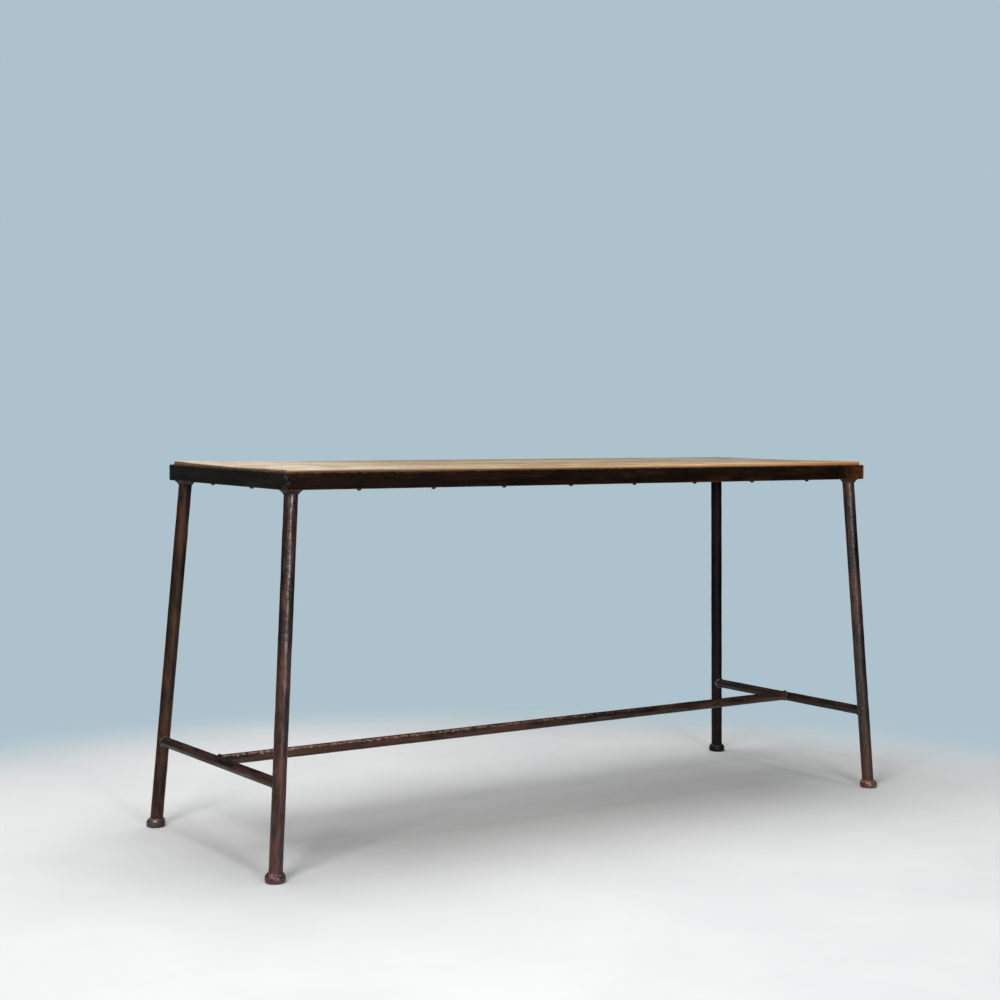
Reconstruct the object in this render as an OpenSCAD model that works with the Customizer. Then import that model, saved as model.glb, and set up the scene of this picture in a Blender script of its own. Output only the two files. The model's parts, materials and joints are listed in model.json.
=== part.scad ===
// Vintage sewing table: a plank top let into a welded angle-iron rim, on four splayed
// pipe legs that a low H of thinner pipe ties together.
// Millimetres, +Z up. The origin is on the floor under the middle of the top, +X runs
// along the length to the right and +Y runs from the front edge to the rear one.

/* [Overall] */
// Length of the rim, outside
table_l = 1524; // [1000:4:2000]
// Depth of the rim, outside
table_w = 508; // [400:4:760]
// Height of the rim's upper edge above the floor
table_h = 762; // [650:2:950]

/* [Rim] */
// Both legs of the angle bar, the upright one and the level one under the boards
bar_leg = 33; // [30:1:45]
// Thickness of the angle bar
bar_t = 4.8; // [3:0.2:6]
// Radius of the rounded toe of each leg of the angle bar
toe_r = 2.2; // [1:0.1:2.8]

/* [Top] */
// Thickness of the boards
board_t = 37; // [32:0.5:45]
// Gap between the boards and the upright flange all round
board_gap = 1.1; // [0.4:0.1:2]
// Radius worn along the outer upper edges of the top
board_round = 3; // [1:0.5:5]

/* [Legs] */
// Outside diameter of the leg pipe
leg_d = 26.9; // [22:0.1:32]
// Wall of the leg pipe
leg_wall = 2.6; // [2:0.1:4]
// Distance of the leg's axis from the rim's outer faces, at the rim's underside
leg_inset = 24.5; // [22:0.5:30]
// How far a leg runs out along the length, from the rim down to the floor
splay_x = 50; // [0:1:80]
// How far a leg runs out across the depth, from the rim down to the floor
splay_y = 37; // [0:1:80]

/* [Feet] */
// Diameter of the domed foot
foot_d = 41; // [38:1:60]
// Height of the domed foot
foot_h = 18.5; // [16:0.5:30]
// Radius of the foot's shoulder
foot_dome_r = 11.5; // [6:0.5:12]
// Radius of the foot's bottom edge
foot_edge_r = 3; // [1:0.5:4]

/* [Stretchers] */
// Outside diameter of the stretcher pipe
str_d = 21.3; // [16:0.1:22]
// Wall of the stretcher pipe
str_wall = 2.3; // [2:0.1:4]
// Height of the end stretchers' axis above the floor
str_z = 181; // [100:1:300]
// How far the long stretcher sits above the end ones
str_step = 2; // [0:0.5:3]

/* [Screws] */
// Spacing of the screws along the front and the rear
screw_pitch = 170; // [100:5:200]
// Diameter of the round head
head_d = 9.8; // [8:0.2:12]
// Height of the round head
head_h = 4.5; // [3:0.1:4.8]
// Diameter of the shank
shank_d = 4.6; // [4:0.2:5]
// Depth that the screw reaches into the board
screw_bite = 22; // [15:1:26]

/* [Welds] */
// Width of the weld round the top of a leg
leg_weld_w = 9; // [4:0.5:9]
// Height of the weld round the top of a leg
leg_weld_h = 8; // [4:0.5:12]
// Width of the weld round a stretcher's end
str_weld_w = 3.5; // [2:0.5:5]
// Radius of the weld down each mitred corner
corner_weld_r = 2; // [1:0.2:2.4]

/* [Hidden] */
$fn = 96;

front = -1;
rear = 1;
left = -1;
right = 1;

// Heights of the rim and the top
under_z = table_h - bar_leg;
seat_z = under_z + bar_t;

// The top, split into equal boards that run along the length
board_count = 5;
top_l = table_l - 2 * (bar_t + board_gap);
top_w = table_w - 2 * (bar_t + board_gap);
board_w = top_w / board_count;

// Legs, feet and stretchers
leg_r = leg_d / 2;
str_r = str_d / 2;
foot_r = foot_d / 2;
// Thickness of the foot left under the end of the pipe
foot_sole = 5;
// Extra length on a cutting cylinder, so that it passes clean through
overrun = 40;
seam_turn = 45;
// Share of the way up the leg where the stretchers meet it
str_share = str_z / under_z;
str_x = table_l / 2 - leg_inset + splay_x * (1 - str_share);
str_y = table_w / 2 - leg_inset + splay_y * (1 - str_share);
// The long stretcher stops this far short of the end stretchers' axes
long_stop = 4;

// Screws
screw_line = bar_leg / 2;
end_room = 160;
long_row_n = floor((table_l - 2 * end_room) / screw_pitch) + 1;
short_row_n = 2;
hole_clear = 0.35;
slot_w = 1.3;
slot_h = 1.8;
tip_h = 6;
tip_r = 0.4;

iron = [0.17, 0.13, 0.11];
rust = [0.33, 0.20, 0.15];
weld_grey = [0.36, 0.31, 0.27];
screw_iron = [0.14, 0.11, 0.10];
wood_pale = [0.80, 0.69, 0.50];
wood_warm = [0.76, 0.62, 0.42];

// Offsets of n screws, evenly spaced about the middle of a bar
function row(n) = [for (i = [0 : n - 1]) (i - (n - 1) / 2) * screw_pitch];

// The two ends of a leg's axis, for the corner at sides sx and sy
function leg_top(sx, sy) =
    [sx * (table_l / 2 - leg_inset), sy * (table_w / 2 - leg_inset), under_z];
function leg_floor(sx, sy) =
    leg_top(sx, sy) + [sx * splay_x, sy * splay_y, -under_z];

// Puts its children's Z axis on the line from a towards b. They are turned about it, so
// that a cylinder's seam keeps clear of the longest chord of any level cut.
module along(a, b) {
    d = b - a;
    translate(a)
        rotate([0, acos(d.z / norm(d)), atan2(d.y, d.x)])
            rotate([0, 0, seam_turn])
                children();
}

// A cylinder on a leg's axis that passes the floor and the rim's underside
module leg_rod(sx, sy, r) {
    a = leg_floor(sx, sy);
    b = leg_top(sx, sy);
    along(a, b)
        translate([0, 0, -overrun])
            cylinder(h = norm(b - a) + 2 * overrun, r = r);
}

// Everything between two heights, wide enough for the whole table
module level_slab(z0, z1) {
    translate([-table_l, -table_w, z0])
        cube([2 * table_l, 2 * table_w, z1 - z0]);
}

// ---- Rim ----

// Section of the angle bar: x runs inwards from the outer face, y upwards
module angle_section() {
    for (turn = [0, 1])
        mirror([turn, -turn, 0]) {
            square([bar_t, bar_leg - toe_r]);
            square([bar_t - toe_r, bar_leg]);
            translate([bar_t - toe_r, bar_leg - toe_r])
                circle(r = toe_r);
        }
}

// A mitred bar along X, its outer face on y = 0 and its underside on z = 0
module rim_bar(len, screws) {
    difference() {
        intersection() {
            rotate([90, 0, 90])
                linear_extrude(height = len, center = true)
                    angle_section();
            linear_extrude(height = bar_leg)
                polygon([[-len / 2, 0], [len / 2, 0],
                         [len / 2 - bar_leg, bar_leg], [bar_leg - len / 2, bar_leg]]);
        }
        for (x = screws)
            translate([x, screw_line, -1])
                cylinder(h = bar_t + 2, d = shank_d + 2 * hole_clear);
    }
}

// Places a bar, or its screws, on the front or rear edge
module on_long_side(side) {
    rotate([0, 0, side == front ? 0 : 180])
        translate([0, -table_w / 2, under_z])
            children();
}

// Places a bar, or its screws, on the left or right edge
module on_short_side(side) {
    rotate([0, 0, side == left ? -90 : 90])
        translate([0, -table_l / 2, under_z])
            children();
}

module rim_long(side) {
    color(iron)
        on_long_side(side)
            rim_bar(table_l, row(long_row_n));
}

module rim_short(side) {
    color(iron)
        on_short_side(side)
            rim_bar(table_w, row(short_row_n));
}

// ---- Screws ----

// The part of a screw inside the wood and the flange, from the flange's underside up
module shank() {
    reach = bar_t + screw_bite;
    cylinder(h = reach - tip_h, d = shank_d);
    translate([0, 0, reach - tip_h])
        cylinder(h = tip_h, r1 = shank_d / 2, r2 = tip_r);
}

// A slotted round-head wood screw, its head hanging under z = 0
module screw() {
    // Radius of the ball that gives a head of this width and height
    ball_r = (pow(head_d / 2, 2) + pow(head_h, 2)) / (2 * head_h);
    shank();
    difference() {
        intersection() {
            translate([0, 0, ball_r - head_h])
                sphere(r = ball_r);
            translate([0, 0, -head_h])
                cylinder(h = head_h, d = head_d);
        }
        translate([-head_d, -slot_w / 2, -head_h - 1])
            cube([2 * head_d, slot_w, slot_h + 1]);
    }
}

module long_row(side) {
    on_long_side(side)
        for (x = row(long_row_n))
            translate([x, screw_line, 0])
                children();
}

module short_row(side) {
    on_short_side(side)
        for (x = row(short_row_n))
            translate([x, screw_line, 0])
                children();
}

module screws_long(side) {
    color(screw_iron)
        long_row(side)
            screw();
}

module screws_short(side) {
    color(screw_iron)
        short_row(side)
            screw();
}

// ---- Top ----

// The whole top with its outer upper edges rounded, before it is split into boards
module top_blank() {
    r = board_round;
    translate([-top_l / 2, -top_w / 2, seat_z])
        cube([top_l, top_w, board_t - r]);
    translate([r - top_l / 2, r - top_w / 2, seat_z])
        cube([top_l - 2 * r, top_w - 2 * r, board_t]);
    for (s = [front, rear])
        translate([r - top_l / 2, s * (top_w / 2 - r), seat_z + board_t - r])
            rotate([0, 90, 0])
                cylinder(h = top_l - 2 * r, r = r);
    for (s = [left, right])
        translate([s * (top_l / 2 - r), r - top_w / 2, seat_z + board_t - r])
            rotate([-90, 0, 0])
                cylinder(h = top_w - 2 * r, r = r);
    for (sx = [left, right])
        for (sy = [front, rear])
            translate([sx * (top_l / 2 - r), sy * (top_w / 2 - r), seat_z + board_t - r])
                sphere(r = r);
}

// Board i, counted from the front, with a pilot hole round each screw
module board(i) {
    color(i % 2 == 0 ? wood_pale : wood_warm)
        difference() {
            intersection() {
                top_blank();
                translate([-table_l / 2, i * board_w - top_w / 2, 0])
                    cube([table_l, board_w, 2 * table_h]);
            }
            for (side = [front, rear]) {
                long_row(side) shank();
                short_row(side) shank();
            }
        }
}

// ---- Legs and feet ----

// A pipe leg, cut level at the rim's underside and inside its foot
module leg(sx, sy) {
    color(rust)
        intersection() {
            difference() {
                leg_rod(sx, sy, leg_r);
                leg_rod(sx, sy, leg_r - leg_wall);
            }
            level_slab(foot_sole, under_z);
        }
}

// Half section of the foot: flat sole, rounded bottom edge, domed shoulder
module foot_section() {
    square([foot_r - foot_dome_r, foot_h]);
    square([foot_r - foot_edge_r, foot_h - foot_dome_r]);
    translate([0, foot_edge_r])
        square([foot_r, foot_h - foot_dome_r - foot_edge_r]);
    translate([foot_r - foot_edge_r, foot_edge_r])
        circle(r = foot_edge_r);
    translate([foot_r - foot_dome_r, foot_h - foot_dome_r])
        intersection() {
            circle(r = foot_dome_r);
            square(foot_dome_r);
        }
}

// A domed foot with a leaning socket for the end of the pipe
module foot(sx, sy) {
    color(rust)
        difference() {
            translate(leg_floor(sx, sy))
                rotate_extrude()
                    foot_section();
            intersection() {
                leg_rod(sx, sy, leg_r);
                level_slab(foot_sole, 2 * foot_h);
            }
        }
}

// ---- Stretchers ----

// A cylinder on the axis of an end stretcher, from leg axis to leg axis
module end_rod(side, r) {
    translate([side * str_x, -str_y, str_z])
        rotate([-90, 0, 0])
            cylinder(h = 2 * str_y, r = r);
}

// A cylinder on the axis of the long stretcher, cut short of the end stretchers' axes
module long_rod(r) {
    half = str_x - long_stop;
    translate([-half, 0, str_z + str_step])
        rotate([0, 90, 0])
            cylinder(h = 2 * half, r = r);
}

// End stretcher, coped to fit round both legs
module stretcher_end(side) {
    color(iron)
        difference() {
            end_rod(side, str_r);
            end_rod(side, str_r - str_wall);
            for (sy = [front, rear])
                leg_rod(side, sy, leg_r);
        }
}

// Long stretcher, coped to fit against both end stretchers
module stretcher_long() {
    color(iron)
        difference() {
            long_rod(str_r);
            long_rod(str_r - str_wall);
            for (side = [left, right])
                end_rod(side, str_r);
        }
}

// ---- Welds ----

// Flared weld round a leg's top, on the two bars and not over the open inner corner
module leg_weld(sx, sy) {
    top = leg_top(sx, sy);
    color(weld_grey)
        difference() {
            translate([top.x, top.y, under_z - leg_weld_h])
                cylinder(h = leg_weld_h, r1 = leg_r + 0.8, r2 = leg_r + leg_weld_w);
            leg_rod(sx, sy, leg_r);
            translate([sx * (table_l / 2 - bar_leg - overrun),
                       sy * (table_w / 2 - bar_leg - overrun), under_z])
                cube(2 * overrun, center = true);
        }
}

// Weld bead down the mitred outer corner of the rim
module corner_weld(sx, sy) {
    difference() {
        translate([sx * table_l / 2, sy * table_w / 2, under_z])
            cylinder(h = bar_leg, r = corner_weld_r);
        translate([-table_l / 2, -table_w / 2, under_z - 1])
            cube([table_l, table_w, bar_leg + 2]);
    }
}

module rim_corner_welds() {
    color(weld_grey)
        for (sx = [left, right])
            for (sy = [front, rear])
                corner_weld(sx, sy);
}

// Collar of weld round an end stretcher where it meets a leg
module end_joint_weld(side, sy) {
    difference() {
        intersection() {
            leg_rod(side, sy, leg_r + str_weld_w);
            end_rod(side, str_r + str_weld_w);
        }
        leg_rod(side, sy, leg_r);
        end_rod(side, str_r);
    }
}

// Collar of weld round the long stretcher where it meets an end stretcher
module long_joint_weld(side) {
    difference() {
        intersection() {
            end_rod(side, str_r + str_weld_w);
            long_rod(str_r + str_weld_w);
        }
        end_rod(side, str_r);
        long_rod(str_r);
    }
}

module stretcher_welds() {
    color(weld_grey)
        for (side = [left, right]) {
            for (sy = [front, rear])
                end_joint_weld(side, sy);
            long_joint_weld(side);
        }
}

// ---- Nodes ----

rim_long(front);  // rim_front
rim_long(rear);  // rim_rear
rim_short(left);  // rim_left
rim_short(right);  // rim_right

board(0);  // board_front
board(1);  // board_mid_front
board(2);  // board_centre
board(3);  // board_mid_rear
board(4);  // board_rear

leg(left, front);  // leg_front_left
leg(right, front);  // leg_front_right
leg(left, rear);  // leg_rear_left
leg(right, rear);  // leg_rear_right

foot(left, front);  // foot_front_left
foot(right, front);  // foot_front_right
foot(left, rear);  // foot_rear_left
foot(right, rear);  // foot_rear_right

stretcher_end(left);  // stretcher_left
stretcher_end(right);  // stretcher_right
stretcher_long();

screws_long(front);  // screws_front
screws_long(rear);  // screws_rear
screws_short(left);  // screws_left
screws_short(right);  // screws_right

leg_weld(left, front);  // weld_leg_front_left
leg_weld(right, front);  // weld_leg_front_right
leg_weld(left, rear);  // weld_leg_rear_left
leg_weld(right, rear);  // weld_leg_rear_right
rim_corner_welds();  // welds_rim_corners
stretcher_welds();  // welds_stretchers
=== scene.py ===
# %% [markdown]
# # A vintage sewing table
# A plank top let into a welded angle-iron rim, on four splayed pipe legs that a low H of
# thinner pipe ties together. The exact model is loaded first and never edited: each piece
# below takes its place from it, and adds what a drawing leaves out, such as worn edges,
# ripples in the weld, rust and grain.

# %% Load the frame
import json
import math
import random

import bmesh
import bpy
from mathutils import Matrix, Vector
from mathutils.noise import noise

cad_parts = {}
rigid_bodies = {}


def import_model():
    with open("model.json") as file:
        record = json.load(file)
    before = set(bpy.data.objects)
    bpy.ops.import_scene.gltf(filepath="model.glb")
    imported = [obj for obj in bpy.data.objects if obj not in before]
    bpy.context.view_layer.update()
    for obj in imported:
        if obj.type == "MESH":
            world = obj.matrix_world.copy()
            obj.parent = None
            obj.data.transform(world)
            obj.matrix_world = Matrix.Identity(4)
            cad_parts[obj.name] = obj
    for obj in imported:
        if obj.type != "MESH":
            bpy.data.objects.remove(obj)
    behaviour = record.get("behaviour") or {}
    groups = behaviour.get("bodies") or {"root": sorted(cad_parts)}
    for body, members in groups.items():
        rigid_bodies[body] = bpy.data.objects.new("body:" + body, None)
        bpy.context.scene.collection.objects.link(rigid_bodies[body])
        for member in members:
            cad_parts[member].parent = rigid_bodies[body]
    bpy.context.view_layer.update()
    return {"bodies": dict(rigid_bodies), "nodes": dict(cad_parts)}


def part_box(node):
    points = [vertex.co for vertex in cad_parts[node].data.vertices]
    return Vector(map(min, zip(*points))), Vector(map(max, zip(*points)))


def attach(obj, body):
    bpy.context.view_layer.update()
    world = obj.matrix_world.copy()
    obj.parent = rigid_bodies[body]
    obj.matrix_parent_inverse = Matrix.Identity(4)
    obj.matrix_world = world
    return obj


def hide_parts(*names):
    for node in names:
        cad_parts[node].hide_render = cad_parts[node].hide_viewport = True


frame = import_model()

MM = 0.001
BODY = list(frame["bodies"])[0]

# %% [markdown]
# ## The camera
# The view is low and a little to the left of the front, with the long edge running away to
# the right. A camera could be aimed with a constraint, but three angles are enough: a turn
# from +Y towards +X, a tilt down, and the slight lean of a camera held by hand.

# %% Camera
EYE = Vector((-2.338, -3.1927, 0.8819))
TURN = math.radians(35.05)
TILT = math.radians(-2.88)
LEAN = math.radians(0.57)
LENS_MM = 64.34
SENSOR_MM = 36


def aimed(turn, tilt, lean):
    ahead = Vector((math.sin(turn) * math.cos(tilt), math.cos(turn) * math.cos(tilt),
                    math.sin(tilt)))
    side = Vector((math.cos(turn), -math.sin(turn), 0))
    up = side.cross(ahead)
    side_leaned = side * math.cos(lean) + up * math.sin(lean)
    up_leaned = up * math.cos(lean) - side * math.sin(lean)
    return Matrix((side_leaned, up_leaned, -ahead)).transposed()


lens = bpy.data.cameras.new("camera")
lens.lens = LENS_MM
lens.sensor_width = SENSOR_MM
camera = bpy.data.objects.new("camera", lens)
camera.matrix_world = Matrix.Translation(EYE) @ aimed(TURN, TILT, LEAN).to_4x4()
bpy.context.scene.collection.objects.link(camera)
bpy.context.scene.camera = camera
print("camera at", tuple(round(v, 3) for v in EYE), "lens", lens.lens)

# %% [markdown]
# ## Colours and nodes
# Paint and rust are easiest to judge as the eye sees them, in steps of 0 to 255. Blender
# mixes light in linear values, so one helper turns the first into the second. The other
# helpers each add one node, set what is plain and link what isn't, which keeps every
# material below to a few lines that can be read in order.

# %% Colours
def tint(red, green, blue):
    channels = [v / 255 for v in (red, green, blue)]
    linear = [v / 12.92 if v < 0.04045 else ((v + 0.055) / 1.055) ** 2.4 for v in channels]
    return (*linear, 1)


print("a grey that looks like step 128 is", round(tint(128, 128, 128)[0], 3), "in linear light")


# %% Nodes
def fill_in(tree, node, values):
    for key, value in values.items():
        if isinstance(value, bpy.types.NodeSocket):
            tree.links.new(value, node.inputs[key])
        else:
            node.inputs[key].default_value = value


def add(tree, kind, values=None, **settings):
    node = tree.nodes.new(kind)
    for key, value in settings.items():
        setattr(node, key, value)
    fill_in(tree, node, values or {})
    return node


def calc(tree, operation, first, second=0.0):
    node = add(tree, "ShaderNodeMath", {0: first, 1: second}, operation=operation)
    return node.outputs[0]


def times(tree, first, second):
    return calc(tree, "MULTIPLY", first, second)


def plus(tree, first, second):
    return calc(tree, "ADD", first, second)


def less(tree, first, second):
    return calc(tree, "SUBTRACT", first, second)


def vectors(tree, operation, first, second):
    node = add(tree, "ShaderNodeVectorMath", {0: first, 1: second}, operation=operation)
    return node.outputs["Value" if operation in ("DISTANCE", "LENGTH") else "Vector"]


def scaled(tree, vector, by):
    return vectors(tree, "MULTIPLY", vector, by)


def fade(tree, value, start, end, low=0.0, high=1.0):
    values = {"Value": value, "From Min": start, "From Max": end, "To Min": low, "To Max": high}
    return add(tree, "ShaderNodeMapRange", values, interpolation_type="SMOOTHSTEP").outputs[0]


def near(tree, vector, point, reach):
    return fade(tree, vectors(tree, "DISTANCE", vector, point), reach, 0.0)


def speckle(tree, vector, scale, detail=3.0, roughness=0.55, distortion=0.0):
    values = {"Vector": vector, "Scale": scale, "Detail": detail, "Roughness": roughness,
              "Distortion": distortion}
    return add(tree, "ShaderNodeTexNoise", values).outputs[0]


def attribute(tree, label):
    return add(tree, "ShaderNodeAttribute", attribute_name=label).outputs["Fac"]


def mixed(tree, mask, colour_a, colour_b):
    values = {0: mask, 6: colour_a, 7: colour_b}
    return add(tree, "ShaderNodeMix", values, data_type="RGBA").outputs[2]


def laid(tree, colour, mask, strength, over):
    """A colour laid over another where the mask is, as thickly as the strength says."""
    return mixed(tree, times(tree, mask, strength), colour, over)


# %% Effects and materials
def new_group(name, takes, gives):
    tree = bpy.data.node_groups.new(name, "ShaderNodeTree")
    for label, value in takes.items():
        kind = "NodeSocketVector" if label == "Vector" else "NodeSocketFloat"
        socket = tree.interface.new_socket(label, in_out="INPUT", socket_type=kind)
        if value is not None:
            socket.default_value = value
    for label in gives:
        tree.interface.new_socket(label, in_out="OUTPUT", socket_type="NodeSocketFloat")
    print("effect:", name, "takes", list(takes), "gives", list(gives))
    return tree, add(tree, "NodeGroupInput").outputs, add(tree, "NodeGroupOutput").inputs


def place(tree, group, **values):
    node = tree.nodes.new("ShaderNodeGroup")
    node.node_tree = group
    fill_in(tree, node, values)
    return node.outputs


def new_material(name):
    material = bpy.data.materials.new(name)
    material.use_nodes = True
    tree = material.node_tree
    tree.nodes.clear()
    shader = add(tree, "ShaderNodeBsdfPrincipled")
    add(tree, "ShaderNodeOutputMaterial", {0: shader.outputs[0]})
    return material, tree, shader, add(tree, "ShaderNodeTexCoord").outputs["Object"]


def dress(tree, shader, colour, rough, height, strength, depth):
    """Links all that changes over a surface: its colour, its roughness and its bumps."""
    bump = add(tree, "ShaderNodeBump",
               {"Height": height, "Strength": strength, "Distance": depth})
    fill_in(tree, shader, {"Base Color": colour, "Roughness": rough,
                           "Normal": bump.outputs[0]})


# %% [markdown]
# ## Effects that several finishes share
# Old iron is never one colour. Rust comes in blooms with ragged edges, the mill leaves
# streaks along a bar, hands and boots rub the edges bright, and the skin is pitted. The
# bright-edge mask also carries painted highlights and glints on some parts. Each of these
# is a node group, built once. It gives only a mask or a height, and each material decides
# which colour or roughness that mask stands for.

# %% Rust
rust_bloom, source, sink = new_group(
    "rust_bloom", {"Vector": None, "Size": 30.0, "Spread": 0.5}, ["Mask", "Height"])
patches = speckle(rust_bloom, source["Vector"], source["Size"], 5.0, 0.62, 0.4)
grains = speckle(rust_bloom, source["Vector"], times(rust_bloom, source["Size"], 9.0))
ragged = plus(rust_bloom, patches, times(rust_bloom, grains, 0.25))
edge_of_bloom = less(rust_bloom, 0.95, times(rust_bloom, source["Spread"], 0.6))
bloom = fade(rust_bloom, less(rust_bloom, ragged, edge_of_bloom), -0.07, 0.09)
rust_bloom.links.new(bloom, sink["Mask"])
rust_bloom.links.new(times(rust_bloom, bloom, grains), sink["Height"])

# %% Streaks along a bar
mill_streaks, source, sink = new_group(
    "mill_streaks", {"Vector": None, "Fineness": 300.0}, ["Mask"])
wide = speckle(mill_streaks, source["Vector"], times(mill_streaks, source["Fineness"], 0.25), 2.0)
fine = speckle(mill_streaks, source["Vector"], source["Fineness"], 4.0, 0.65)
both = plus(mill_streaks, times(mill_streaks, wide, 0.6), times(mill_streaks, fine, 0.4))
mill_streaks.links.new(fade(mill_streaks, both, 0.36, 0.62), sink["Mask"])

# %% Edges rubbed bright, with painted highlights
edge_wear_and_sheen, source, sink = new_group(
    "edge_wear_and_sheen", {"Vector": None, "Edge": 0.0, "Amount": 0.5}, ["Mask"])
scuffs = speckle(edge_wear_and_sheen, source["Vector"], 140.0, 5.0, 0.7)
rubbed_and_sheen = plus(edge_wear_and_sheen, times(edge_wear_and_sheen, source["Edge"], source["Amount"]),
              times(edge_wear_and_sheen, scuffs, 0.75))
edge_wear_and_sheen.links.new(fade(edge_wear_and_sheen, rubbed_and_sheen, 0.68, 0.86), sink["Mask"])

# %% Grime from handling
handling_grime, source, sink = new_group(
    "handling_grime", {"Vector": None, "Size": 8.0, "Amount": 0.5}, ["Mask"])
cloudy = speckle(handling_grime, source["Vector"], source["Size"], 6.0, 0.6, 0.6)
dark_part = times(handling_grime, fade(handling_grime, cloudy, 0.38, 0.66), source["Amount"])
handling_grime.links.new(dark_part, sink["Mask"])

# %% Pits in the skin
skin_pits, source, sink = new_group(
    "skin_pits", {"Vector": None, "Fineness": 500.0}, ["Height"])
cells = add(skin_pits, "ShaderNodeTexVoronoi",
            {"Vector": source["Vector"], "Scale": source["Fineness"]}).outputs[0]
craters = fade(skin_pits, cells, 0.0, 0.35)
lumps = speckle(skin_pits, source["Vector"], times(skin_pits, source["Fineness"], 0.3), 4.0, 0.6)
skin_pits.links.new(plus(skin_pits, times(skin_pits, craters, 0.35), lumps), sink["Height"])

# %% [markdown]
# ## Iron finishes
# The legs, bars and stretchers are mild steel that was never properly painted: a brown
# oxide skin over dark mill scale, with warmer rust where the oil has gone. One recipe
# makes them all. Its tones, and the direction in which the streaks are drawn out, change
# from part to part. An optional corner gives a place where welding heat left a patch of
# warmer rust. Old oil is a clear coat over the iron, broken into patches, and on the front
# legs it is thicker above a given height.

# %% Iron recipe
SOOT = tint(16, 11, 9)
PIT_DEPTH = 0.6 * MM
OIL_ROUGHNESS = 0.36
OIL_FADE = 0.3


def oil_patches(tree, where, coat, oiled_above):
    patchy = fade(tree, speckle(tree, where, 130.0, 4.0, 0.75), 0.42, 0.56, coat, coat * 0.1)
    if oiled_above:
        height_up = add(tree, "ShaderNodeSeparateXYZ", {0: where}).outputs[2]
        oily = fade(tree, height_up, oiled_above, oiled_above + OIL_FADE, 0.2, 1.0)
        patchy = times(tree, patchy, oily)
    return patchy


def iron_finish(name, dark, body, rust, wear_and_sheen_tone, stretch, spread=0.5, gloss=0.36, metal=0.35,
                pits=420.0, depth=0.35, soot=0.45, corner=None, coat=0.0, shine=0.5,
                oiled_above=None):
    dark, body, rust, wear_and_sheen_tone = (tint(*tone) for tone in (dark, body, rust, wear_and_sheen_tone))
    material, tree, shader, where = new_material(name)
    drawn = scaled(tree, where, stretch)
    streaks = place(tree, mill_streaks, Vector=drawn, Fineness=170.0)
    colour = mixed(tree, streaks["Mask"], dark, body)
    mottle = fade(tree, speckle(tree, where, 210.0, 5.0, 0.72), 0.4, 0.62)
    colour = laid(tree, colour, mottle, 0.55, dark)
    grime = place(tree, handling_grime, Vector=drawn, Size=26.0, Amount=soot)
    colour = mixed(tree, grime["Mask"], colour, SOOT)
    blooms = place(tree, rust_bloom, Vector=drawn, Size=45.0, Spread=spread)
    colour = laid(tree, colour, blooms["Mask"], 0.6, rust)
    dull = calc(tree, "MAXIMUM", blooms["Mask"], times(tree, mottle, 0.7))
    rough = fade(tree, dull, 0.0, 1.0, gloss, gloss + 0.3)
    # Pale edge tone: real wear everywhere, and a painted highlight or glint wherever the edge weights
    # are raised for it.
    wear_and_sheen_mask = place(tree, edge_wear_and_sheen, Vector=where, Edge=attribute(tree, "edge"), Amount=0.55)
    colour = laid(tree, colour, wear_and_sheen_mask["Mask"], 0.6, wear_and_sheen_tone)
    if corner:
        point, reach, glow = corner
        ragged = fade(tree, speckle(tree, where, 90.0, 5.0, 0.7), 0.3, 0.62)
        broken = times(tree, near(tree, where, point, reach), ragged)
        colour = mixed(tree, broken, colour, glow)
        rough = plus(tree, rough, times(tree, broken, 0.15))
    pitted = place(tree, skin_pits, Vector=where, Fineness=pits)
    height = plus(tree, pitted["Height"], times(tree, blooms["Height"], 0.6))
    dress(tree, shader, colour, rough, height, depth, PIT_DEPTH)
    shader.inputs["Metallic"].default_value = metal
    shader.inputs["Specular IOR Level"].default_value = shine
    if coat:
        tree.links.new(oil_patches(tree, where, coat, oiled_above), shader.inputs["Coat Weight"])
    shader.inputs["Coat Roughness"].default_value = OIL_ROUGHNESS
    print("finish:", name)
    return material


# %% Rim finishes
UPRIGHT = (1.0, 1.0, 0.16)
CROSSWISE = (1.0, 0.16, 1.0)
LENGTHWISE = (0.16, 1.0, 1.0)
EVEN = (1.0, 1.0, 1.0)

rim_lo, rim_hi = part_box("rim_front")
END_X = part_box("rim_right")[1][0]
FACE_Y = abs(rim_lo[1])
RIM_TOP = rim_hi[2]
UNDER_Z = rim_lo[2]
hot_corner = ((END_X, -FACE_Y, UNDER_Z - 4 * MM), 0.09, tint(96, 56, 28))

rim_long_iron = iron_finish(
    "rim_long_iron", (13, 7, 4), (34, 19, 9), (60, 34, 17), (96, 76, 54), LENGTHWISE,
    spread=0.38, gloss=0.5, metal=0.0, soot=0.55, corner=hot_corner, shine=0.06)
# The end bars are given a grey tone, not the brown of the long bars: painted reflection of light on
# those faces.
rim_short_iron = iron_finish(
    "rim_short_iron", (20, 18, 17), (38, 35, 33), (52, 38, 28), (88, 78, 68), CROSSWISE,
    spread=0.24, gloss=0.42, metal=0.0, corner=hot_corner, shine=0.35)

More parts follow.
